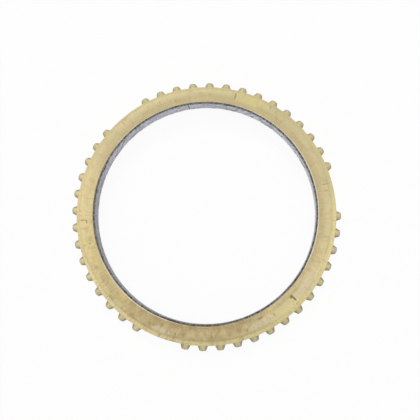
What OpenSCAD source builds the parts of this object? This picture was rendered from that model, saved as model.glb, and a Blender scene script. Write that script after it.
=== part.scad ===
// Synchronizer blocker ring with a bonded friction lining.
// The gear-side face lies on z = 0, the ring axis is Z and the hub side faces up.

/* [Ring body] */
// Diameter at the tooth roots, from which the radial widths run inwards and outwards
root_d = 105.7; // [95:0.1:125]
// Height from the gear-side face to the land on the hub side
ring_h = 10.8; // [9:0.1:15]
// Radial width of the land
land_w = 3.2; // [2:0.1:5]
// Height of the land above the inner band
land_h = 0.5; // [0.2:0.1:2]
// Radial run of the slope from the land down to the inner band
land_slope_run = 0.6; // [0.1:0.1:1.2]
// Bevel on the outer edge of the land
land_bevel = 0.5; // [0.1:0.1:1]
// Radial run of the flank from the land down to the shoulder
flank_run = 0.95; // [0.2:0.05:2]
// Width of the shoulder between the foot of the flank and the tooth roots
shoulder_w = 1.9; // [0.6:0.1:2.6]
// Fillet between the flank and the shoulder
flank_fillet = 1.5; // [0.3:0.1:2]
// Radial width from the land to the bore
band_w = 2.4; // [1.6:0.1:4]

/* [Tapered bore] */
// Half angle of the taper, opening towards the gear side
cone_angle = 7; // [5:0.25:8]
// Chamfer where the bore meets the inner band
mouth_chamfer = 0.4; // [0.1:0.05:0.6]
// Chamfer where the bore meets the gear-side face
back_chamfer = 0.8; // [0.2:0.1:1.2]

/* [Teeth] */
// Radial length of the teeth
tooth_l = 2.15; // [1.2:0.05:4]
// Groups of teeth round the ring, each followed by a toothless gap
group_count = 3; // [2:1:4]
// Teeth in each group
teeth_per_group = 14; // [8:1:16]
// Tooth positions left empty at each gap
missing_teeth = 2; // [1:1:4]
// Height of the flange that carries the teeth
flange_h = 4.2; // [3.6:0.1:5.6]
// Tooth width at the root
tooth_root_w = 4.3; // [3.2:0.1:5]
// Tooth width at the tip
tooth_tip_w = 2.6; // [1.8:0.1:3.2]
// Corner radius of the tooth tip
tooth_corner = 0.6; // [0.1:0.1:0.9]
// Half angle of the pointed tooth end
roof_angle = 52; // [42:1:65]
// Step from the shoulder down to the tooth ridge at the root
ridge_step = 0.3; // [0.3:0.1:0.8]
// Drop of the tooth ridge from root to tip
ridge_drop = 0.6; // [0.2:0.1:2]
// Chamfer on the tooth tips at the gear-side face
tip_chamfer = 0.4; // [0.1:0.1:0.8]

/* [Slots in the land] */
// Angle that each slot spans, midway between two gaps
slot_angle = 11.6; // [6:0.1:20]
// Depth of each slot at the inner edge of the land
slot_depth = 0.4; // [0.3:0.1:1.8]
// Rise of the slot floor across the land, from its inner to its outer edge
slot_rise = 0.3; // [0:0.1:1]

/* [Friction lining] */
// Thickness of the lining
lining_t = 0.8; // [0.4:0.05:1.2]
// Distance of the lining's upper edge below the inner band
lining_setback = 0.2; // [0:0.05:0.6]
// Distance of the lining's lower edge above the gear-side face
lining_lift = 1.1; // [0.8:0.1:3]
// Thickness of the adhesive film behind the lining
bond_film = 0.05; // [0.02:0.01:0.1]
// Width of the butt seam
seam_w = 0.4; // [0.2:0.05:1]
// Slant of the butt seam from the axis
seam_slant = 2; // [0:1:30]
// Angle of the butt seam round the ring
seam_place = 100.4; // [0:0.1:359.9]

/* [Hidden] */
$fn = 192;

root_r = root_d / 2;
tip_r = root_r + tooth_l;
foot_r = root_r - shoulder_w;
land_outer_r = foot_r - flank_run;
land_inner_r = land_outer_r - land_w;
slope_foot_r = land_inner_r - land_slope_run;
cone_r = land_inner_r - band_w;
band_z = ring_h - land_h;
group_size = teeth_per_group + missing_teeth;
pitch_angle = 360 / (group_count * group_size);
gap_centre = (missing_teeth + 1) / 2 * pitch_angle;
slot_centre = gap_centre + 180 / group_count;
// Depth that the teeth reach into the flange
tooth_embed = 0.2;
// Length by which a cut runs past the face it opens
overshoot = 1;
// Largest share of the shoulder that its fillet takes
fillet_share = 0.9;
// Steps of each drawn arc
arc_steps = 6;

// Bore radius of the brass at height z
function bore_r(z) = cone_r + (band_z - z) * tan(cone_angle);

// Points on an arc from angle a to angle b
function arc(centre, r, a, b) = [
    for (k = [0 : arc_steps])
        let (t = a + (b - a) * k / arc_steps)
        centre + r * [cos(t), sin(t)]
];

// Half section of the turned body, without teeth
module body_section() {
    flank_top_z = ring_h - land_bevel;
    flank_angle = atan2(flank_run, flank_top_z - flange_h);
    fillet_run = tan(45 - flank_angle / 2);
    fillet = min(flank_fillet, fillet_share * shoulder_w / fillet_run);
    fillet_centre = [foot_r + fillet * fillet_run, flange_h + fillet];
    polygon(concat(
        [[bore_r(0) + back_chamfer, 0], [root_r, 0], [root_r, flange_h]],
        arc(fillet_centre, fillet, 270, 180 + flank_angle),
        [
            [land_outer_r, flank_top_z],
            [land_outer_r - land_bevel, ring_h],
            [land_inner_r, ring_h],
            [slope_foot_r, band_z],
            [cone_r + mouth_chamfer, band_z],
            [bore_r(band_z - mouth_chamfer), band_z - mouth_chamfer],
            [bore_r(back_chamfer), back_chamfer]
        ]
    ));
}

// Outline of one tooth on the +X axis, flanks straight and tip corners round
module tooth_outline() {
    flank = atan2((tooth_root_w - tooth_tip_w) / 2, tooth_l);
    base_r = root_r - tooth_embed;
    base_w = tooth_root_w / 2 + tooth_embed * tan(flank);
    corner_x = tip_r - tooth_corner;
    corner_y = tooth_tip_w / 2 + tooth_corner * tan(flank) - tooth_corner / cos(flank);
    upper = arc([corner_x, corner_y], tooth_corner, 90 - flank, 0);
    lower = arc([corner_x, -corner_y], tooth_corner, 0, flank - 90);
    polygon(concat([[base_r, -base_w], [base_r, base_w]], upper, lower));
}

// House-shaped prism that points the tooth towards the hub, its ridge falling outwards
module tooth_roof() {
    half_w = tooth_root_w;
    eaves = half_w / tan(roof_angle);
    depth = 2 * ring_h;
    reach = 4 * (tooth_l + tooth_embed);
    ridge_slope = atan2(ridge_drop, tooth_l);
    translate([root_r, 0, flange_h - ridge_step])
        rotate([0, 90 + ridge_slope, 0])
            linear_extrude(height = reach, center = true)
                polygon([[0, 0], [eaves, half_w], [depth, half_w], [depth, -half_w], [eaves, -half_w]]);
}

module tooth() {
    intersection() {
        linear_extrude(height = flange_h) tooth_outline();
        tooth_roof();
    }
}

// Turned envelope of the teeth: tip cylinder, chamfered at the gear-side face
module tip_envelope() {
    rotate_extrude()
        polygon([
            [root_r - tooth_embed, 0],
            [tip_r - tip_chamfer, 0],
            [tip_r, tip_chamfer],
            [tip_r, flange_h],
            [root_r - tooth_embed, flange_h]
        ]);
}

module teeth() {
    intersection() {
        tip_envelope();
        union()
            for (group = [0 : group_count - 1])
                for (k = [missing_teeth + 1 : group_size])
                    rotate([0, 0, (group * group_size + k) * pitch_angle]) tooth();
    }
}

// Sector that opens one slot through the land, its floor level inside the land and rising across it
module slot_cut() {
    inner_r = cone_r - overshoot;
    floor_z = ring_h - slot_depth;
    root_floor_z = floor_z + slot_rise * (root_r - land_inner_r) / land_w;
    top_z = ring_h + overshoot;
    rotate([0, 0, -slot_angle / 2])
        rotate_extrude(angle = slot_angle)
            polygon([
                [inner_r, floor_z],
                [land_inner_r, floor_z],
                [root_r, root_floor_z],
                [root_r, top_z],
                [inner_r, top_z]
            ]);
}

module blocker_ring() {
    color("goldenrod")
        difference() {
            union() {
                rotate_extrude() body_section();
                teeth();
            }
            for (k = [0 : group_count - 1])
                rotate([0, 0, slot_centre + k * 360 / group_count]) slot_cut();
        }
}

// Outer and inner point of the lining at height z, one adhesive film away from the bore
function lining_edge(z) = [
    [bore_r(z) - bond_film, z],
    [bore_r(z) - bond_film - lining_t, z]
];

module friction_lining() {
    top = lining_edge(band_z - lining_setback);
    low = lining_edge(lining_lift);
    seam_h = 2 * ring_h;
    seam_reach = 8 * lining_t;
    color("slategray")
        difference() {
            rotate_extrude() polygon([low[0], top[0], top[1], low[1]]);
            rotate([0, 0, seam_place])
                translate([cone_r, 0, (top[0][1] + low[0][1]) / 2])
                    rotate([-seam_slant, 0, 0])
                        cube([seam_reach, seam_w, seam_h], center = true);
        }
}

blocker_ring();
friction_lining();
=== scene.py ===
"""Synchronizer ring: a worn brass blocker ring with a woven lining bonded in its tapered bore."""

import collections
import functools
import math

import bpy
import numpy as np
from bpy.props import FloatProperty, FloatVectorProperty, IntProperty, PointerProperty
from mathutils import Matrix, Vector


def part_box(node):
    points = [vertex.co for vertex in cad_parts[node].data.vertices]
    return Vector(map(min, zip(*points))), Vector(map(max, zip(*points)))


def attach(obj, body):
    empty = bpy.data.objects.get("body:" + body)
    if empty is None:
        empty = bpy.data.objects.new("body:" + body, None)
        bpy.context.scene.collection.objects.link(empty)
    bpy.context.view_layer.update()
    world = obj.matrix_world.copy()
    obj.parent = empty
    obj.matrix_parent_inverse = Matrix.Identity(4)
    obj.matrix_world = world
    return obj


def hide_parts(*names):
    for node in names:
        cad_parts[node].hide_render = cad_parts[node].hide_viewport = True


bl_info = {
    "name": "Synchronizer Ring",
    "version": (1, 0, 0),
    "blender": (4, 5, 0),
    "location": "View3D > Sidebar > Synchronizer",
    "description": "Dresses a blocker ring in worn brass and lines its bore with a woven strip",
    "category": "Object",
}

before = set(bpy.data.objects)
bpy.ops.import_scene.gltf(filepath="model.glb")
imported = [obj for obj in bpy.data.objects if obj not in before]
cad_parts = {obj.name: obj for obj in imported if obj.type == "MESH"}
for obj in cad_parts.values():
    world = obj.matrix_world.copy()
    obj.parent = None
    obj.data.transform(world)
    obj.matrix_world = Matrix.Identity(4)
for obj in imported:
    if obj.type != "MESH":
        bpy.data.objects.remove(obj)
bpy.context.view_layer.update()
RING_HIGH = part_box("blocker_ring")[1]
LINING_LOW, LINING_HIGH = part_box("friction_lining")
MICRON = 0.000001
MM = 0.001
TURN = 2 * math.pi

# Corners of the ring's section, from the gear-side face outwards, up and back down the bore:
# rounding in millimetres, points added on the side that follows, and how brightly each is rubbed.
# The foot of the flank takes its rounding from the ring's sizes.
SECTION = {
    "face_inside": (0.15, 3, 0.3),
    "face_outside": (0.12, 0, 0.5),
    "rim_low": (0.12, 2, 0),
    "rim_high": (0.18, 3, 0),
    "roof_root": (0.15, 1, 0),
    "shoulder_edge": (0.2, 0, 0.3),
    "flank_foot": (0, 3, 0),
    "flank_top": (0.3, 0, 0),
    "land_outside": (0.3, 3, 0),
    "land_inside": (1.2, 1, 0),
    "slope_foot": (1.0, 2, 0),
    "mouth_outside": (0.1, 0, 0.6),
    "mouth_inside": (0.1, 2, 0.4),
    "bore_foot": (0.15, 0, 0.3),
}
ROUNDINGS, SIDE_POINTS, RUBS = (np.array(column) for column in zip(*SECTION.values()))
FLANK_FOOT = list(SECTION).index("flank_foot")
CORNER_STEPS, FILLET_STEPS = 2, 5
# Most of a side that a corner may take, and the share left before the first point on it
CORNER_SHARE, END_SHARE = 0.45, 0.04
# Columns of the ring's grid: millimetres from the middle of a tooth, along the root circle
TOOTH_COLUMNS = (0, 0.5, 0.85, 1.0, 1.12, 1.22, 1.32, 1.5, 1.75, 2.0, 2.15, 2.3, 2.7, 3.15)
# Columns across a slot wall, and their reach from its middle in wall widths
WALL_COLUMNS, WALL_REACH = 7, 0.6
ANGLE_DECIMALS = 6
# Least height of the step at the root where no tooth stands
LEAST_STEP = 0.02 * MM
# Painted shade on a tooth: where it starts and thins below the ridge, inside the tip, beyond the
# root
SHADE_START, SHADE_THINS, SHADE_FADE = 0.3 * MM, 1.4 * MM, 0.8 * MM
TIP_FADE, ROOT_FADE = 0.5 * MM, 0.4 * MM
TIP_SHADE, SHADE_LOST = 0.8, 0.5
# Share of a slot wall's height above which it is rubbed, and how brightly
RIM_SHARE, RIM_RUB = 0.6, 0.5
# Unevenness round the ring, as closed waves: seed, orders and amount
BEVEL_WAVE = (3, (3, 7, 11, 17), 0.25)
LAND_WAVE = (5, (2, 5, 9, 14, 23), 0.12 * MM)
MOUTH_WAVE = (7, (4, 9, 15, 31), 0.25)
ROUNDING_WAVE = (11, (5, 13, 29, 47, 71), 0.4)
FRAY_WAVE = (21, (37, 61, 97, 131), 0.5)

# Grid of the strip: columns round it, and rows on its face, on each edge and on its back
LINING_COLUMNS, LINING_ROWS, EDGE_ROWS, BACK_ROWS = 1600, 46, 3, 4
# Fray that follows the tows, and how much of all fray the low and the top edge show
TOW_FRAY, LOW_FRAY, TOP_FRAY = 0.35, 2, -0.5
# Depth added to the weave on its loose side, and the height in it that lies on the plain face
LOOSE_DEPTH, FACE_HEIGHT = 1.3, 0.6
FACE_ROUNDING, FACE_POWER = 0.1 * MM, 24
# Dark cut edge: strength at the face, strip of face that it covers, depth at which it is full
CUT_AT_FACE, CUT_STRIP, CUT_DEPTH = 0.4, 0.03, 0.35

# Sides of the ring: direction in degrees, and cosines from it where the side starts and is full
SIDES = {
    "left": (182, 0.85, 0.99), "upper": (80, -0.15, 0.65), "lower": (258, -0.3, 1.0),
    "clear": (311, 0.98, 0.997), "olive": (48, 0.3, 1.0), "gold": (342, 0.8, 0.98),
    "gold patch": (209, 0.965, 0.997), "amber": (218, 0.82, 0.97), "film": (233, 0.9, 0.99),
    "soil": (269, 0.7, 0.97), "soiled shoulder": (272, 0.75, 0.97),
    "wide flank": (310, 0.8, 0.97), "dull flank": (182, 0.83, 0.98),
    "clean flank": (22, 0.85, 0.98), "warm flank": (212, 0.5, 0.95),
    "wiped flank": (300, 0.95, 0.99), "plain teeth": (322, 0.5, 0.95),
    "olive slot": (71, 0.5, 0.9), "yellow slot": (67, 0.992, 0.999),
    "bare band": (314, 0.92, 0.985), "ring line": (309, 0.93, 0.985),
    "shaded mouth": (308, 0.88, 0.97), "lit mouth": (30, 0.4, 1.0),
    "loose weave": (52, 0.8, 0.95), "rough weave": (158, 0.75, 0.95),
    "oiled weave": (222, 0.0, 1.0),
}
# Sides on which the bore's mouth carries its painted highlight, as above, and how far
MOUTH_HIGHLIGHT_SIDES = (
    (25, 0.5, 0.95, 1), (228, 0.8, 0.98, 1), (345, 0.95, 0.995, 1), (128, 0.93, 0.99, 0.6))
# Radii in millimetres over which a film starts or ends
FADES = {
    "film starts": (45.6, 46.6), "film ends": (47.6, 48.8), "band ends": (45.6, 47.4),
    "yellow starts": (46.3, 47.3), "gold starts": (47.0, 48.8), "flank starts": (49.3, 50.7),
    "soil ends": (50.9, 51.9), "teeth start": (52.3, 53.0),
}
# Heights in millimetres where the hub face starts, and the flank's wall starts and ends
HUB_FACE, WALL_START, WALL_END = (9.0, 9.8), (5.6, 7.0), (9.4, 10.2)
# Lines round the hub face: radius and half width in millimetres
RING_LINE, MOUTH_LINE = (46.4, 0.7), (44.44, 0.36)
# Noise: scale per millimetre and detail
NOISES = {
    "blotch": (0.16, 3), "smudge": (0.34, 5), "drift": (0.5, 4), "mottle": (0.8, 4),
    "pits": (1.3, 1), "grain": (3.0, 3), "patch": (0.5, 3), "clump": (1.1, 2), "speck": (2.4, 3),
}
# Streaks in the brass: scales round the ring, outwards and upwards, and detail
STREAKS = {"turned": (6, 2.2, 1.3, 4), "radial": (60, 0.3, 0.2, 4)}
BRASS_METAL = 0.35
# Marks on the hub face: angle in degrees, radius, half width and radial half length in millimetres
# The dark lines are scratches, and painted shade along small steps and slot end walls
DARK_LINES = (
    (14.0, 48.4, 0.2, 1.8), (10.9, 48.3, 0.17, 1.3), (134.1, 48.9, 0.2, 1.4),
    (132.6, 49.0, 0.15, 1.0), (257.9, 48.7, 0.22, 1.4), (114.0, 47.9, 0.2, 0.8),
    (59.3, 49.4, 0.35, 0.9), (274.5, 48.2, 0.28, 0.7), (291.0, 48.6, 0.25, 0.9),
    (245.2, 48.4, 0.17, 1.1), (197.0, 48.9, 0.25, 0.6), (196.8, 46.9, 0.5, 0.35),
    (185.3, 48.3, 0.2, 1.6), (186.3, 46.9, 0.9, 0.4), (76.8, 48.0, 0.4, 1.6),
    (298.6, 46.5, 1.3, 0.5), (305.0, 47.8, 0.22, 1.0))
# Painted shadows cast by one slot's end wall onto its floor
SLOT_SHADOWS = ((316.5, 47.1, 0.8, 0.8), (316.9, 48.3, 0.42, 1.5))
STAINS = ((203.5, 46.2, 3.4, 1.4), (227.0, 46.0, 2.2, 1.2), (303.5, 46.0, 3.4, 1.1))
PALE_PATCHES = (
    (325.0, 48.5, 7.2, 1.9), (300.2, 48.1, 4.4, 1.7), (294.5, 48.8, 3.2, 1.2),
    (251.0, 48.9, 4.6, 1.4), (231.7, 49.5, 0.8, 0.7))

WHITE, PAPER = (1, 1, 1, 1), (0.9, 0.9, 0.9, 1)
FLOOR_POINTS = 96
CLIP_START = 10 * MM


def length(name, description, default):
    """A size in metres, shown in scene units."""
    return FloatProperty(
        name=name, description=description, default=default, unit="LENGTH", precision=5)


def angle(name, description, degrees):
    """An angle given in degrees and kept in radians."""
    return FloatProperty(
        name=name, description=description, default=math.radians(degrees), subtype="ANGLE")


def colour(name, description, default):
    """A linear colour."""
    return FloatVectorProperty(
        name=name, description=description, default=default, subtype="COLOR", min=0, max=1)


def place(name, description, default):
    """A point in metres."""
    return FloatVectorProperty(
        name=name, description=description, default=default, subtype="XYZ", unit="LENGTH")


class RingShape(bpy.types.PropertyGroup):
    """Sizes of the brass ring."""

    tip_radius: length("Tip radius", "Radius over the tooth tips", RING_HIGH.x)
    height: length("Height", "From the gear-side face to the land", RING_HIGH.z)
    tooth_length: length("Tooth length", "Radial length of the teeth", 2.15 * MM)
    shoulder_width: length("Shoulder width", "Flat between the flank and the tooth roots", 1.9 * MM)
    flank_run: length("Flank run", "Radial run of the flank", 0.95 * MM)
    flank_fillet: length("Flank fillet", "Setback of the fillet at the flank's foot", 1.3 * MM)
    land_width: length("Land width", "Radial width of the land", 3.2 * MM)
    land_height: length("Land height", "Land above the inner band", 0.5 * MM)
    land_bevel: length("Land bevel", "Bevel on the outer edge of the land", 0.5 * MM)
    slope_run: length("Slope run", "Radial run of the slope from land to inner band", 0.6 * MM)
    land_wear: length("Land wear", "Width worn off the inner edge of the land", 0.8 * MM)
    band_width: length("Band width", "From the land to the bore", 2.4 * MM)
    cone_angle: angle("Cone angle", "Half angle of the tapered bore", 7)
    mouth_chamfer: length("Mouth chamfer", "Chamfer from the bore to the inner band", 0.28 * MM)
    back_chamfer: length("Back chamfer", "Chamfer from the bore to the gear-side face", 0.8 * MM)
    groups: IntProperty(
        name="Groups", description="Groups of teeth, each followed by a gap", default=3)
    teeth: IntProperty(name="Teeth", description="Teeth in each group", default=14)
    missing: IntProperty(
        name="Missing", description="Tooth positions left empty at each gap", default=2)
    flange_height: length("Flange height", "Height of the toothed flange", 4.2 * MM)
    tooth_root_width: length("Tooth root width", "Tooth width at the root", 4.3 * MM)
    tooth_tip_width: length("Tooth tip width", "Tooth width at the tip", 2.6 * MM)
    tooth_corner: length("Tooth corner", "Corner radius of the tooth tip", 0.6 * MM)
    tooth_fillet: length("Tooth fillet", "Softness of the corner at a tooth's root", 0.25 * MM)
    roof_angle: angle("Roof angle", "Half angle of the pointed tooth end", 52)
    ridge_step: length("Ridge step", "From the shoulder down to the tooth ridge", 0.3 * MM)
    ridge_drop: length("Ridge drop", "Drop of the ridge from root to tip", 0.6 * MM)
    ridge_round: length("Ridge round", "Softness of the tooth ridge", 0.15 * MM)
    tip_chamfer: length("Tip chamfer", "Chamfer of the tips at the gear-side face", 0.4 * MM)
    edge_break: length("Edge break", "Smallest chamfer at the gear-side face", 0.12 * MM)
    slot_angle: angle("Slot angle", "Angle that each slot spans", 11.6)
    slot_depth: length("Slot depth", "Depth at the inner edge of the land", 0.4 * MM)
    slot_rise: length("Slot rise", "Rise of the slot floor across the land", 0.3 * MM)
    slot_wall: length("Slot wall", "Width over which a slot's end wall rises", 0.3 * MM)


class LiningShape(bpy.types.PropertyGroup):
    """Sizes of the woven strip."""

    low: length("Low edge", "Height of the strip's lower edge", LINING_LOW.z)
    high: length("High edge", "Height of the strip's upper edge", LINING_HIGH.z)
    thickness: length("Thickness", "Thickness of the strip", 0.8 * MM)
    bond_film: length("Bond film", "Adhesive film behind the strip", 0.05 * MM)
    seam_place: angle("Seam place", "Angle of the butt seam round the ring", 100.4)
    seam_slant: angle("Seam slant", "Slant of the butt seam", 2)
    seam_width: length("Seam width", "Width of the butt seam", 0.22 * MM)
    tow_width: length("Tow width", "Width of one flat bundle of fibres", 1.5 * MM)
    relief: length("Relief", "Depth of the weave", 0.2 * MM)
    fray: length("Fray", "Waviness of the cut edges", 0.3 * MM)


class Finish(bpy.types.PropertyGroup):
    """Colours of the two materials."""

    land: colour("Land", "Rubbed brass on the land", (0.63, 0.54, 0.3))
    tan: colour("Tan", "Warmer patches of the brass", (0.66, 0.54, 0.3))
    # Also painted light: it lifts the shaded shoulder and stands in for the floor mirrored in the
    # flank
    flank: colour("Flank", "Clean brass outside the land", (0.9, 0.8, 0.42))
    flank_warm: colour("Warm flank", "Warmer brass outside the land", (0.9, 0.76, 0.46))
    gold: colour("Gold", "Cleaner brass on one side", (0.76, 0.63, 0.33))
    tooth: colour("Tooth", "Brass of the teeth", (0.7, 0.6, 0.33))
    # Painted shade on the teeth's low edges and tips
    tooth_shade_colour: colour("Tooth edge", "Dull low edges of the teeth", (0.255, 0.25, 0.235))
    olive: colour("Olive", "Greenish film on the brass", (0.43, 0.41, 0.2))
    slot: colour("Slot", "Brass of the slot floors", (0.66, 0.57, 0.29))
    inner_band: colour("Inner band", "Stained brass on the inner band", (0.53, 0.43, 0.225))
    soiled: colour("Soiled", "Brown film on the brass", (0.42, 0.315, 0.15))
    stain: colour("Stain", "Orange heat stain", (0.7, 0.5, 0.2))
    pale: colour("Pale", "Greyish rubbed patches", (0.64, 0.55, 0.36))
    # Also paints the shade along small steps and slot end walls, and the slot shadows
    grime_and_shade: colour("Grime", "Dirt in scratches and corners", (0.16, 0.12, 0.05))
    # Polish on rubbed edges, and the painted highlight along the bore's mouth
    polish_and_highlight: colour("Bright edge", "Brass polished along its edges", (0.7, 0.64, 0.46))
    # Painted highlight on the bore's mouth chamfer
    mouth: colour("Mouth", "Bare brass at the bore's mouth", (0.97, 0.92, 0.74))
    amber: colour("Amber", "Warm brass on one side", (0.66, 0.55, 0.22))
    yellow: colour("Yellow", "Yellow brass in one slot", (0.68, 0.6, 0.2))
    fibre: colour("Fibre", "Woven fibre", (0.78, 0.8, 0.87))
    fibre_dark: colour("Dark fibre", "Hollows between bundles", (0.19, 0.195, 0.215))
    fleck: colour("Fleck", "Bright flecks on the fibre", (0.86, 0.87, 0.92))
    # Darker fibre on one side of the lining
    darker_fibre: colour("Oiled", "Fibre dark with oil", (0.2, 0.2, 0.215))
    cut_edge: colour("Cut edge", "Dark cut edge of the strip", (0.018, 0.016, 0.014))
    cut_pale: colour("Pale cut edge", "Dusty parts of the cut edge", (0.23, 0.215, 0.195))


class StageShape(bpy.types.PropertyGroup):
    """Camera, floor and light."""

    camera_distance: length("Camera distance", "From the aim point to the camera", 192.4 * MM)
    camera_tilt: angle("Camera tilt", "Angle of the view from the ring's axis", 6.262)
    camera_azimuth: angle("Camera azimuth", "Side that the camera leans to", -82.609)
    camera_turn: angle("Camera turn", "Turn of the picture's upright from +Y", 1.239)
    aim: place("Aim", "Point on the view's axis", (8.435 * MM, 2.456 * MM, 10 * MM))
    lens: FloatProperty(name="Lens", description="Focal length in millimetres", default=41.76)
    shift: FloatVectorProperty(
        name="Shift", description="Lens shift as a share of the frame", default=(-0.04, -0.0102),
        size=2)
    floor_radius: length("Floor radius", "Radius of the floor", 3.0)
    floor_glow: FloatProperty(
        name="Floor glow", description="Share of plain white in the floor seen by the camera",
        default=0.93, min=0, max=1)
    world_level: FloatProperty(
        name="World level", description="Strength of the light from all round", default=0.68)
    key_power: FloatProperty(
        name="Key power", description="Power of the large soft lamp", default=5.2, unit="POWER")
    key_size: length("Key size", "Side of the large soft lamp", 0.5)
    key_place: place("Key place", "Place of the large soft lamp", (-0.15, 0.7, 1.1))


def smooth(t):
    """Smooth step from 0 to 1 as t goes from 0 to 1."""
    t = np.clip(t, 0, 1)
    return t * t * (3 - 2 * t)


def rise(distance, start, width):
    """0 up to the start, 1 one width further on, a smooth step between."""
    return smooth((distance - start) / width)


def ripple(theta, seed, orders, amount):
    """Closed wave round the ring: a sum of cosines of the given orders, phases and sizes seeded."""
    random = np.random.default_rng(seed)
    phases = random.uniform(0, TURN, len(orders))
    sizes = random.uniform(0.4, 1, len(orders))
    waves = sizes * np.cos(np.multiply.outer(theta, np.array(orders)) + phases)
    return amount * waves.sum(-1) / sizes.sum()


Radii = collections.namedtuple("Radii", "root foot land_out land_in cone")


def radii(shape):
    """Radii of the section, from the tooth roots inwards to the bore at the inner band's height."""
    steps = (shape.tooth_length, shape.shoulder_width, shape.flank_run, shape.land_width)
    root, foot, land_out, land_in = shape.tip_radius - np.cumsum(steps)
    return Radii(root, foot, land_out, land_in, land_in - shape.band_width)


def band_height(shape):
    """Height of the inner band."""
    return shape.height - shape.land_height


def bore_radius(shape, z):
    """Radius of the tapered bore at height z: it opens by tan(cone angle) towards the gear side."""
    return radii(shape).cone + (band_height(shape) - z) * math.tan(shape.cone_angle)


def tooth_positions(shape):
    """Number of tooth positions round the ring, empty ones too."""
    return shape.groups * (shape.teeth + shape.missing)


def slot_centres(shape):
    """Angles of the slots, midway between two toothless gaps."""
    first = (shape.missing + 1) / 2 * (TURN / tooth_positions(shape)) + math.pi / shape.groups
    return first + np.arange(shape.groups) * TURN / shape.groups


def column_angles(shape):
    """Angles of the grid's columns: one fan for all tooth positions, a finer one for slot ends."""
    root = radii(shape).root
    positions = tooth_positions(shape)
    half = np.array(TOOTH_COLUMNS) * MM / root
    fan = np.concatenate([-half[:0:-1], half])
    teeth = np.add.outer(np.arange(positions) * TURN / positions, fan).ravel()
    ends = np.add.outer(slot_centres(shape), shape.slot_angle * np.array([-0.5, 0.5])).ravel()
    wall = np.linspace(-WALL_REACH, WALL_REACH, WALL_COLUMNS) * shape.slot_wall / root
    walls = np.add.outer(ends, wall).ravel()
    return np.unique(np.round(np.concatenate([teeth, walls]) % TURN, ANGLE_DECIMALS))


def tooth_reach(shape, phi):
    """Radius of a tooth's outline on a ray at angle phi from its middle.

    The straight flank y = tip/2 + (tip_r - x) tan(f) is met at
    (tip/2 + tip_r tan(f)) / (|sin phi| + cos phi tan(f)), the tip is a circle about the axis, and
    the corner between them is a circle of radius c about C, which a ray d meets at
    C.d + sqrt(c^2 - (C x d)^2).
    """
    phi = np.abs(phi)
    half_tip, corner, tip = shape.tooth_tip_width / 2, shape.tooth_corner, shape.tip_radius
    flank = math.atan2(shape.tooth_root_width / 2 - half_tip, shape.tooth_length)
    centre_x = tip - corner
    centre_y = half_tip + corner * math.tan(flank) - corner / math.cos(flank)
    on_flank = (half_tip + tip * math.tan(flank)) / (np.sin(phi) + np.cos(phi) * math.tan(flank))
    along = centre_x * np.cos(phi) + centre_y * np.sin(phi)
    across = centre_x * np.sin(phi) - centre_y * np.cos(phi)
    on_corner = along + np.sqrt(np.clip(corner ** 2 - across ** 2, 0, None))
    corner_start = math.atan2(centre_y, tip)
    corner_end = math.atan2(
        centre_y + corner * math.cos(flank), centre_x + corner * math.sin(flank))
    rounded = np.where(phi < corner_end, np.minimum(on_corner, tip), on_flank)
    return np.where(phi < corner_start, tip, rounded)


def roof_height(shape, r, phi):
    """Height of a tooth's roof: a ridge that falls outwards, less |u| over the roof's slope.

    Here u is the distance from the tooth's middle, and |u| is softened to sqrt(u^2 + e^2) - e.
    """
    fall = shape.ridge_drop / shape.tooth_length
    u = np.minimum(np.abs(r * np.sin(phi)), shape.tooth_root_width / 2 + shape.tooth_fillet)
    soft_u = np.hypot(u, shape.ridge_round) - shape.ridge_round
    out = r * np.cos(phi) - radii(shape).root
    ridge = shape.flange_height - shape.ridge_step - out * fall
    return ridge - soft_u * math.hypot(1, fall) / math.tan(shape.roof_angle)


def ring_corners(shape, theta):
    """Corners of the ring's section at each angle, in the order of SECTION.

    The rim is the soft maximum (a + b + sqrt((a - b)^2 + e^2)) / 2 of the tooth's outline and the
    root circle, and the bevel, the land's edge and the bore's mouth ripple round the ring.
    """
    root, foot, land_out, land_in, cone = radii(shape)
    pitch = TURN / tooth_positions(shape)
    index = np.round(theta / pitch).astype(int) % (shape.teeth + shape.missing)
    phi = (theta + pitch / 2) % pitch - pitch / 2
    present = (index == 0) | (index > shape.missing)
    reach = np.where(present, tooth_reach(shape, phi), 0)
    out = (reach + root + np.hypot(reach - root, shape.tooth_fillet)) / 2
    chamfer = np.clip(
        out - shape.tip_radius + shape.tip_chamfer, shape.edge_break, shape.tip_chamfer)
    apart = np.clip(shape.tooth_fillet - (out - root), LEAST_STEP, None)
    band_z = band_height(shape)
    bevel = shape.land_bevel * (1 + ripple(theta, *BEVEL_WAVE))
    land_edge = land_in + ripple(theta, *LAND_WAVE)
    mouth = shape.mouth_chamfer * (1 + ripple(theta, *MOUTH_WAVE))
    corners = {
        "face_inside": (bore_radius(shape, 0) + shape.back_chamfer, 0),
        "face_outside": (out - chamfer, 0),
        "rim_low": (out, chamfer),
        "rim_high": (out, roof_height(shape, out, phi) - apart / 2),
        "roof_root": (root, roof_height(shape, root, phi) + apart / 2),
        "shoulder_edge": (root, shape.flange_height),
        "flank_foot": (foot, shape.flange_height),
        "flank_top": (land_out, shape.height - bevel),
        "land_outside": (land_out - bevel, shape.height),
        "land_inside": (land_edge + shape.land_wear, shape.height),
        "slope_foot": (land_edge - shape.slope_run, band_z),
        "mouth_outside": (cone + mouth, band_z),
        "mouth_inside": (bore_radius(shape, band_z - mouth), band_z - mouth),
        "bore_foot": (bore_radius(shape, shape.back_chamfer), shape.back_chamfer),
    }
    points = [np.stack(np.broadcast_arrays(*corners[name], theta)[:2], -1) for name in SECTION]
    return np.stack(points, 1)


def side_steps(count):
    """Shares of a side at which points are added: its middle, or a row held close to each end."""
    return np.linspace(END_SHARE, 1 - END_SHARE, count) if count > 1 else np.full(count, 0.5)


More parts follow.
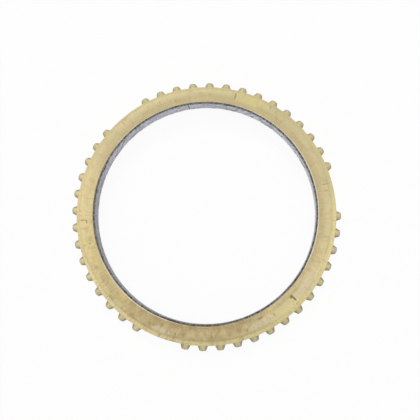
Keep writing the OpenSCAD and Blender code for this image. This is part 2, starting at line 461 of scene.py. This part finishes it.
def rounded_section(corners, setbacks):
    """Closed section with every corner P bent into the curve (1-t)^2 S + 2t(1-t) P + t^2 E.

    S and E lie on its two sides, at its setback or a share of a shorter side. Returns the points
    and the rub at each.
    """
    before = np.roll(corners, 1, 1) - corners
    after = np.roll(corners, -1, 1) - corners
    into = np.minimum(setbacks / np.linalg.norm(before, axis=-1), CORNER_SHARE)[..., None]
    away = np.minimum(setbacks / np.linalg.norm(after, axis=-1), CORNER_SHARE)[..., None]
    start, end = corners + before * into, corners + after * away
    following = np.roll(start, -1, 1)
    points, rubs = [], []
    for k, rub in enumerate(RUBS):
        steps = FILLET_STEPS if k == FLANK_FOOT else CORNER_STEPS
        t = np.linspace(0, 1, steps + 1)[:, None, None]
        curve = (1 - t) ** 2 * start[:, k] + 2 * t * (1 - t) * corners[:, k] + t ** 2 * end[:, k]
        s = side_steps(SIDE_POINTS[k])[:, None, None]
        points += [curve, (1 - s) * end[:, k] + s * following[:, k]]
        rubs += [rub * 4 * t[:, 0, 0] * (1 - t[:, 0, 0]), np.zeros(len(s))]
    return np.concatenate(points).transpose(1, 0, 2), np.concatenate(rubs)


def slot_lift(shape, theta):
    """1 on the land, 0 in a slot, with a smooth step over each end wall."""
    centres = slot_centres(shape)[:, None]
    away = np.abs((theta - centres + math.pi) % TURN - math.pi).min(0)
    wall = shape.slot_wall / radii(shape).root
    return smooth((away - shape.slot_angle / 2) / wall + 0.5)


def ring_surface(shape):
    """The brass ring as a closed grid: a rounded section at each angle, cut to the slot floors.

    A slot's floor rises outwards in a straight line, and heights there are held to the floor plus
    the lift of its end walls. The masks are rubbed edges, slots, and painted shade on the low
    edges and tips of teeth.
    """
    theta = column_angles(shape)
    setbacks = ROUNDINGS * MM
    setbacks[FLANK_FOOT] = shape.flank_fillet
    setbacks = setbacks * (1 + ripple(theta, *ROUNDING_WAVE))[:, None]
    section, rub = rounded_section(ring_corners(shape, theta), setbacks)
    r, z = section[..., 0], section[..., 1]
    root, land_in = radii(shape).root, radii(shape).land_in
    lift = slot_lift(shape, theta)[:, None]
    slope = shape.slot_rise * np.clip(r - land_in, 0, None) / shape.land_width
    floor_z = shape.height - shape.slot_depth + slope
    cap = floor_z + (shape.height - floor_z) * lift
    slot = np.where(z > floor_z, 1 - lift, 0)
    z = np.where(z > cap, cap, z)
    rim = 4 * lift * (1 - lift) * (z > floor_z + RIM_SHARE * (shape.height - floor_z))
    # Painted shade where a tooth's roof falls away below the ridge, and at its tips
    below = roof_height(shape, r, 0 * r) - z
    eaves = rise(below, SHADE_START, SHADE_FADE)
    eaves = eaves * (1 - SHADE_LOST * rise(below, SHADE_THINS, SHADE_FADE))
    tip = TIP_SHADE * rise(r, shape.tip_radius - TIP_FADE, TIP_FADE)
    points = np.stack([r * np.cos(theta)[:, None], r * np.sin(theta)[:, None], z], -1)
    masks = {
        "rubbed": np.clip(rub * (1 - slot) + RIM_RUB * rim, 0, 1),
        "slot": slot,
        "eaves": np.maximum(eaves, tip) * rise(r, root, ROOT_FADE),
    }
    return points, masks


def scattered(index, seed):
    """Repeatable scatter from 0 to 1 for whole numbers: the fraction of a large sine."""
    return np.modf(np.abs(np.sin(index * 12.9898 + seed) * 43758.5453))[0]


def weave(along, across, tow):
    """Plain weave laid at 45 degrees: height from 0 to 1, tow scatter and fibre coordinates.

    With p and q the two diagonal coordinates in tow widths, a warp tow's middle rises as
    0.45 cos(pi (q - 1/2)), its sign changing from tow to tow, its back adds 0.55 of the half
    ellipse sqrt(1 - (2 frac p - 1)^2), and weft tows are the same with p and q exchanged. The
    surface is the higher of the two. Weft fibres are shifted to differ from the warp's.
    """
    diagonal = tow * math.sqrt(2)
    p, q = (along + across) / diagonal, (along - across) / diagonal

    def lie(tow_across, tow_along, sign):
        parity = np.where(np.floor(tow_across) % 2 == 0, sign, -sign)
        back = np.sqrt(np.clip(1 - (2 * (tow_across % 1) - 1) ** 2, 0, 1))
        return 0.45 * parity * np.cos(math.pi * (tow_along - 0.5)) + 0.55 * back

    warp, weft = lie(p, q, 1), lie(q, p, -1)
    on_top = warp >= weft
    scatter = np.where(on_top, scattered(np.floor(p), 1.7), scattered(np.floor(q), 9.2))
    warp_fibres, weft_fibres = np.stack([p, q], -1), np.stack([q, p + 311], -1)
    fibres = np.where(on_top[..., None], warp_fibres, weft_fibres) * tow
    return np.clip(np.maximum(warp, weft), 0, 1), scatter, fibres


def lining_surface(ring, lining):
    """The strip as a tube round its section: face down, low edge out, back up, top edge in.

    The face lies one thickness and one film inside the bore, less the weave's hollows, which are
    deeper on the loose side. Both edges wave with the tows and with a closed wave, and the strip
    starts and ends at the slanted seam.
    """
    high, low = lining.high, lining.low
    middle = (high + low) / 2
    v = np.concatenate([
        np.linspace(1, 0, LINING_ROWS), np.zeros(EDGE_ROWS),
        np.linspace(0, 1, BACK_ROWS), np.ones(EDGE_ROWS)])
    edge = np.linspace(0, 1, EDGE_ROWS + 2)[1:-1]
    depth = np.concatenate([np.zeros(LINING_ROWS), edge, np.ones(BACK_ROWS), edge[::-1]])
    face = (np.arange(len(v)) < LINING_ROWS) * 1.0
    u = np.linspace(0, 1, LINING_COLUMNS)[:, None]
    mean_r = bore_radius(ring, middle)
    girth = u * TURN * mean_r
    degrees, start, full = SIDES["loose weave"]
    facing = np.cos(u * TURN + lining.seam_place - math.radians(degrees))
    loose = rise(facing, start, full - start)
    tows = np.cos(TURN * girth / (lining.tow_width * math.sqrt(2)))
    fray = (1 + loose) * TOW_FRAY * tows + ripple(u * TURN, *FRAY_WAVE)
    z = low + (high - low) * v + lining.fray * fray * (LOW_FRAY + (TOP_FRAY - LOW_FRAY) * v)
    slant = (z - middle) * math.tan(lining.seam_slant)
    half_seam = lining.seam_width / 2 / mean_r
    theta = lining.seam_place + slant / mean_r + half_seam + u * (TURN - 2 * half_seam)
    girth = np.broadcast_to(girth, z.shape)
    height, scatter, fibres = weave(girth, z, lining.tow_width)
    hollow = lining.relief * (1 + LOOSE_DEPTH * loose) * (FACE_HEIGHT - height) * face
    rounding = FACE_ROUNDING * np.abs(2 * v - 1) ** FACE_POWER * face
    inwards = lining.bond_film + lining.thickness * (1 - depth)
    r = bore_radius(ring, z) - inwards + hollow + rounding
    points = np.stack([r * np.cos(theta), r * np.sin(theta), z], -1)
    cut_face = CUT_AT_FACE * rise(v, 1 - CUT_STRIP, CUT_STRIP)
    cut_edge = CUT_AT_FACE + (1 - CUT_AT_FACE) * rise(depth, 0, CUT_DEPTH)
    masks = {
        "crown": height,
        "tow": scatter,
        "cut": np.broadcast_to(np.where(face > 0, cut_face, cut_edge), z.shape),
        "fibre_across": fibres[..., 0] / MM,
        "fibre_along": fibres[..., 1] / MM,
        "girth": girth / MM,
    }
    return points, masks


def grid_object(name, points, masks, closed):
    """Mesh of quads over a grid of points, with each mask as a point attribute of the same name.

    Rows close round the section, and columns close round the ring or end in two caps.
    """
    columns, rows = points.shape[:2]
    index = np.arange(columns * rows).reshape(columns, rows)
    if closed:
        index = np.vstack([index, index[:1]])
    here, there = index[:-1], index[1:]
    quads = np.stack([here, there, np.roll(there, -1, 1), np.roll(here, -1, 1)], -1).reshape(-1, 4)
    faces = [quads.ravel()]
    sizes = [np.full(len(quads), 4)]
    if not closed:
        faces += [index[0], index[-1, ::-1]]
        sizes += [[rows], [rows]]
    faces, sizes = np.concatenate(faces), np.concatenate(sizes)
    mesh = bpy.data.meshes.new(name)
    mesh.vertices.add(columns * rows)
    mesh.vertices.foreach_set("co", points.astype(np.float32).ravel())
    mesh.loops.add(len(faces))
    mesh.loops.foreach_set("vertex_index", faces.astype(np.int32))
    mesh.polygons.add(len(sizes))
    mesh.polygons.foreach_set("loop_start", (np.cumsum(sizes) - sizes).astype(np.int32))
    mesh.polygons.foreach_set("use_smooth", sizes == 4)
    mesh.update(calc_edges=True)
    if mesh.validate(verbose=True):
        raise RuntimeError(f"{name}: the grid has faulty faces")
    for mask, values in masks.items():
        attribute = mesh.attributes.new(mask, "FLOAT", "POINT")
        attribute.data.foreach_set("value", values.astype(np.float32).ravel())
    piece = bpy.data.objects.new(name, mesh)
    bpy.context.scene.collection.objects.link(piece)
    return piece


class Value:
    """A shader socket with arithmetic: each operation on values adds one Math node."""

    def __init__(self, tree, socket=None):
        self.tree = tree
        self.socket = socket

    def node(self, kind, settings=None, sockets=None, output=0):
        """Any node: its settings are set first, then its sockets get values or links."""
        made = self.tree.nodes.new(kind)
        for name, setting in (settings or {}).items():
            setattr(made, name, setting)
        for name, given in (sockets or {}).items():
            if isinstance(given, Value):
                self.tree.links.new(given.socket, made.inputs[name])
            else:
                made.inputs[name].default_value = given
        return Value(self.tree, made.outputs[output] if made.outputs else None)

    def math(self, operation, *given):
        """One Math node on this value and those given."""
        sockets = dict(enumerate((self, *given)))
        return self.node("ShaderNodeMath", {"operation": operation}, sockets)

    def __add__(self, other):
        return self.math("ADD", other)

    def __sub__(self, other):
        return self.math("SUBTRACT", other)

    def __rsub__(self, other):
        return self.node("ShaderNodeMath", {"operation": "SUBTRACT"}, {0: other, 1: self})

    def __mul__(self, other):
        return self.math("MULTIPLY", other)

    def __truediv__(self, other):
        return self.math("DIVIDE", other)

    def __pow__(self, other):
        return self.math("POWER", other)

    __radd__ = __add__
    __rmul__ = __mul__

    def greater(self, other):
        """The greater of two values."""
        return self.math("MAXIMUM", other)

    def span(self, at_zero, at_one):
        """Goes from one number to the other as this value goes from 0 to 1."""
        return self.math("MULTIPLY_ADD", at_one - at_zero, at_zero)

    def clip(self):
        """The value held between 0 and 1."""
        return self.node("ShaderNodeClamp", {}, {"Value": self})

    def ramp(self, low, high):
        """0 at low, 1 at high, a smooth step between."""
        return self.node("ShaderNodeMapRange", {"interpolation_type": "SMOOTHSTEP"},
                         {"Value": self, "From Min": low, "From Max": high})

    def blend(self, first, second):
        """Colour that goes from first to second as this value goes from 0 to 1, and no further."""
        # Sockets 6 and 7 of a Mix node are its two colours, and output 2 is the mixed one
        sockets = {0: self, 6: opaque(first), 7: opaque(second)}
        return self.node("ShaderNodeMix", {"data_type": "RGBA"}, sockets, output=2)

    def attribute(self, name):
        """The mesh attribute of that name."""
        return self.node("ShaderNodeAttribute", {"attribute_name": name}, output="Fac")

    def noise(self, vector, scale, detail, output=0):
        """Noise about 0.5 on a vector."""
        sockets = {"Vector": vector, "Scale": scale, "Detail": detail}
        return self.node("ShaderNodeTexNoise", {}, sockets, output)

    def vector(self, x, y, z):
        """A vector from three values."""
        return self.node("ShaderNodeCombineXYZ", {}, {0: x, 1: y, 2: z})

    def parts(self, vector):
        """The three values of a vector."""
        split = self.node("ShaderNodeSeparateXYZ", {}, {0: vector}).socket.node
        return [Value(self.tree, part) for part in split.outputs]


def opaque(given):
    """A colour as four numbers, or a socket as it is."""
    return given if isinstance(given, Value) else (*given, 1.0)


def empty_tree(owner):
    """The cleared node tree of a material or a world."""
    owner.use_nodes = True
    owner.node_tree.nodes.clear()
    return Value(owner.node_tree)


class Coat:
    """A material whose colour is laid on in layers, and where its points lie in millimetres."""

    def __init__(self, name, finish):
        self.material = bpy.data.materials.new(name)
        self.tree = empty_tree(self.material)
        self.finish = finish
        self.base = None
        metres = self.tree.node("ShaderNodeTexCoord", output="Object")
        self.mm = self.tree.node(
            "ShaderNodeVectorMath", {"operation": "SCALE"}, {0: metres, "Scale": 1 / MM})
        self.x, self.y, self.z = self.tree.parts(self.mm)
        self.r = (self.x * self.x + self.y * self.y).math("SQRT")

    def towards(self, degrees):
        """Cosine of the angle between a point and a direction round the ring."""
        turn = math.radians(degrees)
        return (self.x * math.cos(turn) + self.y * math.sin(turn)) / self.r

    def mask(self, name):
        """1 beyond the radii of a fade, or on a side of the ring, by its name."""
        if name in FADES:
            return self.r.ramp(*FADES[name])
        degrees, start, full = SIDES[name]
        return self.towards(degrees).ramp(start, full)

    def noise(self, name, output=0):
        """Noise in the solid, about 0.5."""
        return self.tree.noise(self.mm, *NOISES[name], output)

    def streaks(self, name):
        """Noise drawn out round the ring or along its radii."""
        turn, out, up, detail = STREAKS[name]
        drawn = self.tree.vector(
            self.x / self.r * turn, self.y / self.r * turn, self.r * out + self.z * up)
        return self.tree.noise(drawn, 1.0, detail)

    def line_at(self, radius, half_width):
        """Soft line round the ring: 1 - ((r - radius) / half width)^2, not below 0."""
        return (1 - ((self.r - radius) / half_width) ** 2).clip()

    def spots(self, marks, wander=0):
        """Soft ellipses: the greatest 1 - (across/a)^2 - (along/b)^2 of the marks, not below 0.

        Noise moves outlines by up to half the wander in millimetres.
        """
        x, y = self.x, self.y
        if wander:
            drift_x, drift_y, _ = self.tree.parts(self.noise("drift", "Color"))
            x, y = x + (drift_x - 0.5) * wander, y + (drift_y - 0.5) * wander
        ellipses = []
        for degrees, radius, half_across, half_along in marks:
            c, s = math.cos(math.radians(degrees)), math.sin(math.radians(degrees))
            across = (y * c - x * s) / half_across
            along = (x * c + y * s - radius) / half_along
            ellipses.append((1 - across * across - along * along).clip())
        return functools.reduce(Value.greater, ellipses)

    def lay(self, tint, share, *masks):
        """Blend a colour of the finish over the base, by a share times masks or named masks."""
        for mask in masks:
            share = (self.mask(mask) if isinstance(mask, str) else mask) * share
        self.base = share.blend(self.base, getattr(self.finish, tint))

    def close(self, roughness, metallic, relief):
        """The finished material, from a roughness, a metal share and a bump height in metres."""
        normal = self.tree.node(
            "ShaderNodeBump", {}, {"Strength": 1.0, "Distance": 1.0, "Height": relief})
        shader = self.tree.node("ShaderNodeBsdfPrincipled", {}, {
            "Base Color": self.base, "Roughness": roughness, "Metallic": metallic,
            "Normal": normal})
        self.tree.node("ShaderNodeOutputMaterial", {}, {"Surface": shader})
        return self.material


def brass_material(finish):
    """Worn brass: rubbed land, stained inner band, clean flank, soil low down, bright edges,
    painted shade and light.
    """
    coat = Coat("worn_brass", finish)
    lay, mask, r, z = coat.lay, coat.mask, coat.r, coat.z
    rubbed, slot, eaves = map(coat.tree.attribute, ("rubbed", "slot", "eaves"))
    blotch, smudge, mottle, grain, pits = map(
        coat.noise, ("blotch", "smudge", "mottle", "grain", "pits"))
    turned, radial = map(coat.streaks, ("turned", "radial"))
    left, upper, lower, clear = map(mask, ("left", "upper", "lower", "clear"))
    hub = z.ramp(*HUB_FACE)
    # Uneven outlines of the inner band and of the flank, in millimetres; on the upper side the band
    # ends further in, painted light on the slope that faces away from the lamp
    uneven = r + (blotch - 0.5) * 2.4 + (mottle - 0.5) * 2.4 + coat.towards(95) * 0.4
    band = (1 - uneven.ramp(*FADES["band ends"])) * hub
    uneven = r + (mottle - 0.5) * 1.6 + (smudge - 0.5) * 1.2 + mask("wide flank") * 0.9
    outside = uneven.ramp(*FADES["flank starts"])

    # Rubbed land in two shades, with golden and olive sides
    shade = (blotch + (mottle - 0.5) * 0.6).ramp(0.38, 0.66)
    coat.base = shade.blend(finish.land, finish.tan)
    lay("gold", 0.8, left)
    lay("olive", 0.2, "olive")
    lay("gold", 0.5, "gold", "gold starts")

    # Cleaner flank and shoulder, and the teeth, with painted light on both
    # The flank colour is partly painted light: it lifts the shoulder out of its shade and stands in
    # for the floor mirrored in the flank
    wall = z.ramp(*WALL_START) * (1 - z.ramp(*WALL_END))
    dull = mask("dull flank").span(1, 0.1)
    lay("flank", 0.9, outside, 1 - upper, wall.span(1, 0.3), dull)
    lay("flank", 0.35, outside, "clean flank")
    lay("flank_warm", 0.6, outside, "warm flank", dull)
    lay("olive", 0.3, outside, upper)
    teeth = mask("teeth start")
    lay("tooth", 1, teeth)
    lay("olive", 0.3, teeth, upper)
    # Painted light on the lower teeth
    lay("flank", 0.35, teeth, 1 - upper, 1 - mask("plain teeth"))

    # Slot floors, the stained inner band and thin films over them
    lay("slot", 0.8, slot, 1 - left)
    lay("olive", 0.25, slot, "olive slot")
    lay("yellow", 0.6, "yellow slot", "yellow starts", hub, mottle)
    lay("inner_band", 1, band, mottle.ramp(0.3, 0.65).span(0.5, 1), left.span(1, 0.2),
        mask("bare band").span(1, 0.2))
    lay("soiled", 0.4, coat.line_at(*RING_LINE), "ring line", hub)
    lay("soiled", 0.16, band, upper)
    lay("amber", 1, "amber", hub, smudge.span(0.2, 0.6))
    lay("soiled", 0.45, "film", "film starts", 1 - mask("film ends"), hub)

    # Brown film, thickest low down and wiped off in places, and one golden patch
    wiped = (1 - clear) * (1 - 0.6 * outside * mask("wiped flank"))
    soil = mask("soil") * smudge.ramp(0.35, 0.62).span(0.45, 1) * outside.span(1, 0.8)
    soil = soil * wiped * hub
    lay("soiled", 1, soil, band.span(0.8, 1.05))
    lay("soiled", 0.5, "soiled shoulder", 1 - mask("soil ends"), outside)
    lay("soiled", 1, smudge.ramp(0.48, 0.72), lower.span(0.28, 0.73), outside.span(1, 0.2),
        clear.span(1, 0.2))
    lay("gold", 0.6, "gold patch", "film ends", 1 - outside)

    # Stains, pale patches, dirt in streaks and pits, dark lines of scratches and painted shade, and
    # painted slot shadows
    stains = coat.spots(STAINS, wander=5).ramp(0, 0.9)
    lay("stain", 0.55, stains, mottle.ramp(0.1, 0.55), hub)
    pale = coat.spots(PALE_PATCHES, wander=1.5).ramp(0.05, 0.4)
    lay("pale", 1, pale, 1 - band, hub, mottle.span(0.5, 0.9))
    lay("grime_and_shade", 1, radial.ramp(0.5, 0.78), lower.span(0.16, 0.38), slot.span(1, 0.3))
    lay("grime_and_shade", 0.14, turned.ramp(0.52, 0.8))
    lay("grime_and_shade", 0.18, grain.ramp(0.52, 0.8))
    lay("grime_and_shade", 1, pits.ramp(0.64, 0.74), lower.span(0.12, 0.37))
    lines = coat.spots(DARK_LINES).ramp(0, 0.8) * hub
    corners = coat.spots(SLOT_SHADOWS).ramp(0, 0.7) * hub
    # Dark lines are scratches and painted shade; the slot corners are painted shadows
    lay("grime_and_shade", 0.5, lines)
    lay("grime_and_shade", 0.8, corners)

    # Painted shade on the teeth's low edges, polished edges, and a painted highlight along the
    # bore's mouth, browner and dimmer on its shaded sides
    lay("tooth_shade_colour", 1, eaves, mottle.span(0.68, 1.12), upper.span(1, 0.58))
    shaded = mask("shaded mouth").greater(left)
    mouth = coat.line_at(*MOUTH_LINE) * hub
    lay("soiled", 0.45, mouth, shaded)
    mouth = mouth * shaded.span(1, 0.2)
    lit = radial.span(0.4, 0.9) + 0.35 * mask("lit mouth")
    bright = mouth * lit + rubbed * radial.span(0.3, 0.8)
    lay("polish_and_highlight", 1, bright, soil.span(1, -0.1))
    # Sides where the painted highlight on the mouth is brightest
    worn = functools.reduce(Value.greater, [
        coat.towards(degrees).ramp(start, full) * share
        for degrees, start, full, share in MOUTH_HIGHLIGHT_SIDES])
    lay("mouth", 1, mouth, worn, radial.span(0.6, 1.2))

    roughness = 0.5 + 0.14 * mottle + 0.1 * grain - 0.08 * rubbed
    relief = ((grain - 0.5) * (12 * MICRON) + (turned - 0.5) * (14 * MICRON)
              + (mottle - 0.5) * (20 * MICRON) - (lines + corners) * (40 * MICRON))
    return coat.close(roughness, BRASS_METAL, relief)


def lining_material(finish):
    """Dull woven fibre: grey streaked bundles, dark hollows, darker on one side, a dark cut edge.
    """
    coat = Coat("woven_fibre", finish)
    tree = coat.tree
    crown, tow, cut, across, along, girth = map(
        tree.attribute, ("crown", "tow", "cut", "fibre_across", "fibre_along", "girth"))
    patch, clump, speck = map(coat.noise, ("patch", "clump", "speck"))
    streak = tree.noise(tree.vector(across * 9, along * 0.7, 0.0), 1.0, 3.0)
    slanted = tree.vector((girth + coat.z * 0.5) * 0.55, coat.z * 0.12, 0.0)
    stroke = tree.noise(slanted, 1.0, 1.0)
    unevenness = 0.7 + 2.4 * coat.mask("loose weave") + 1.5 * coat.mask("rough weave")
    shade = (crown.ramp(0.2, 0.9) * tow.span(0.45, 1) + 0.12 + (stroke - 0.5) * unevenness
             + (streak - 0.5) * 1.2 + (speck - 0.5) * 1.6)
    coat.base = shade.blend(finish.fibre_dark, finish.fibre)
    coat.lay("fleck", 0.6, crown.ramp(0.7, 1.0), streak.ramp(0.5, 0.75))
    coat.lay("darker_fibre", 0.6, "oiled weave")
    dust = (crown.ramp(0.5, 1.0) * 0.25 + clump.ramp(0.44, 0.58) * 0.6
            + patch.ramp(0.47, 0.63) * 0.3)
    edge = dust.blend(finish.cut_edge, finish.cut_pale)
    bare = crown.ramp(0.8, 1.0) * tow.ramp(0.4, 0.9)
    coat.base = (cut * bare.span(1, 0.5)).blend(coat.base, edge)
    relief = (streak - 0.5) * (40 * MICRON) + (speck - 0.5) * (40 * MICRON) * cut
    return coat.close(streak.span(0.62, 0.82), 0.0, relief)


class SYNCHRO_OT_blocker_ring(bpy.types.Operator):
    """Build the toothed brass ring"""

    bl_idname = "synchro.blocker_ring"
    bl_label = "Brass blocker ring"

    def execute(self, context):
        points, masks = ring_surface(context.scene.synchro_ring)
        piece = grid_object("brass_ring", points, masks, closed=True)
        piece.data.materials.append(brass_material(context.scene.synchro_finish))
        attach(piece, "root")
        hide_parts("blocker_ring")
        return {"FINISHED"}


class SYNCHRO_OT_friction_lining(bpy.types.Operator):
    """Build the woven strip in the tapered bore"""

    bl_idname = "synchro.friction_lining"
    bl_label = "Woven friction lining"

    def execute(self, context):
        points, masks = lining_surface(context.scene.synchro_ring, context.scene.synchro_lining)
        piece = grid_object("woven_lining", points, masks, closed=False)
        piece.data.materials.append(lining_material(context.scene.synchro_finish))
        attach(piece, "root")
        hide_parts("friction_lining")
        return {"FINISHED"}


def seen_directly(tree):
    """1 for camera, mirror and see-through rays, 0 for rays that only carry light."""
    rays = [tree.node("ShaderNodeLightPath", output=name)
            for name in ("Is Camera Ray", "Is Glossy Ray", "Is Transmission Ray")]
    return functools.reduce(Value.greater, rays)


def floor_material(glow):
    """Pale floor: plain white where looked at, with a share of diffuse white that keeps shadow."""
    material = bpy.data.materials.new("pale_floor")
    tree = empty_tree(material)
    paper = tree.node("ShaderNodeBsdfDiffuse", {}, {"Color": PAPER})
    white = tree.node("ShaderNodeEmission", {}, {"Color": WHITE, "Strength": 1.0})
    surface = tree.node(
        "ShaderNodeMixShader", {}, {0: seen_directly(tree) * glow, 1: paper, 2: white})
    tree.node("ShaderNodeOutputMaterial", {}, {"Surface": surface})
    return material


def floor_surface(radius):
    """Points on a circle at z = 0, the rim of the flat floor."""
    turn = np.linspace(0, TURN, FLOOR_POINTS, endpoint=False)
    return np.stack([radius * np.cos(turn), radius * np.sin(turn), 0 * turn], -1)


class SYNCHRO_OT_stage(bpy.types.Operator):
    """Build the floor, the soft light and the camera"""

    bl_idname = "synchro.stage"
    bl_label = "Stage"

    def execute(self, context):
        stage = context.scene.synchro_stage
        self.add_floor(context.scene, stage)
        self.add_light(context.scene, stage)
        self.add_camera(context.scene, stage)
        context.scene.view_settings.view_transform = "Standard"
        return {"FINISHED"}

    def add_floor(self, scene, stage):
        """A pale disc under the ring."""
        mesh = bpy.data.meshes.new("floor")
        points = floor_surface(stage.floor_radius)
        mesh.from_pydata(points.tolist(), [], [list(range(len(points)))])
        mesh.materials.append(floor_material(stage.floor_glow))
        floor = bpy.data.objects.new("floor", mesh)
        scene.collection.objects.link(floor)

    def add_light(self, scene, stage):
        """White light from all round and one large soft lamp."""
        scene.world = bpy.data.worlds.new("studio")
        tree = empty_tree(scene.world)
        light, seen = (
            tree.node("ShaderNodeBackground", {}, {"Color": WHITE, "Strength": level})
            for level in (stage.world_level, 1.0))
        sky = tree.node("ShaderNodeMixShader", {}, {0: seen_directly(tree), 1: light, 2: seen})
        tree.node("ShaderNodeOutputWorld", {}, {"Surface": sky})
        lamp = bpy.data.lights.new("key", "AREA")
        lamp.energy = stage.key_power
        lamp.size = stage.key_size
        key = bpy.data.objects.new("key", lamp)
        spot = Vector(stage.key_place)
        aimed = spot.to_track_quat("Z", "Y").to_matrix().to_4x4()
        key.matrix_world = Matrix.Translation(spot) @ aimed
        scene.collection.objects.link(key)

    def add_camera(self, scene, stage):
        """The photograph's view: back along a tilted axis from the aim, upright turned from +Y."""
        tilt, azimuth, turn = stage.camera_tilt, stage.camera_azimuth, stage.camera_turn
        lean = math.sin(tilt)
        back = Vector((lean * math.cos(azimuth), lean * math.sin(azimuth), math.cos(tilt)))
        upright = Vector((-math.sin(turn), math.cos(turn), 0))
        right = upright.cross(back).normalized()
        axes = Matrix((right, back.cross(right), back)).transposed().to_4x4()
        lens = bpy.data.cameras.new("camera")
        lens.lens = stage.lens
        lens.shift_x, lens.shift_y = stage.shift
        lens.clip_start = CLIP_START
        camera = bpy.data.objects.new("camera", lens)
        spot = Vector(stage.aim) + back * stage.camera_distance
        camera.matrix_world = Matrix.Translation(spot) @ axes
        scene.collection.objects.link(camera)
        scene.camera = camera


class SYNCHRO_PT_panel(bpy.types.Panel):
    """Buttons and sizes of the synchronizer ring"""

    bl_idname = "SYNCHRO_PT_panel"
    bl_label = "Synchronizer ring"
    bl_space_type = "VIEW_3D"
    bl_region_type = "UI"
    bl_category = "Synchronizer"

    def draw(self, context):
        for operator in OPERATORS:
            self.layout.operator(operator.bl_idname)
        for group in SETTINGS:
            settings = getattr(context.scene, group)
            for name in settings.bl_rna.properties.keys():
                if name not in ("rna_type", "name"):
                    self.layout.prop(settings, name)


SETTINGS = {
    "synchro_ring": RingShape,
    "synchro_lining": LiningShape,
    "synchro_finish": Finish,
    "synchro_stage": StageShape,
}
OPERATORS = (SYNCHRO_OT_stage, SYNCHRO_OT_blocker_ring, SYNCHRO_OT_friction_lining)


def register():
    for group in (*SETTINGS.values(), *OPERATORS, SYNCHRO_PT_panel):
        bpy.utils.register_class(group)
    for name, group in SETTINGS.items():
        setattr(bpy.types.Scene, name, PointerProperty(type=group))


def unregister():
    for name in SETTINGS:
        delattr(bpy.types.Scene, name)
    for group in (SYNCHRO_PT_panel, *OPERATORS, *SETTINGS.values()):
        bpy.utils.unregister_class(group)


def main():
    """Build the stage and both pieces."""
    register()
    bpy.ops.synchro.stage()
    bpy.ops.synchro.blocker_ring()
    bpy.ops.synchro.friction_lining()


if __name__ == "__main__":
    main()
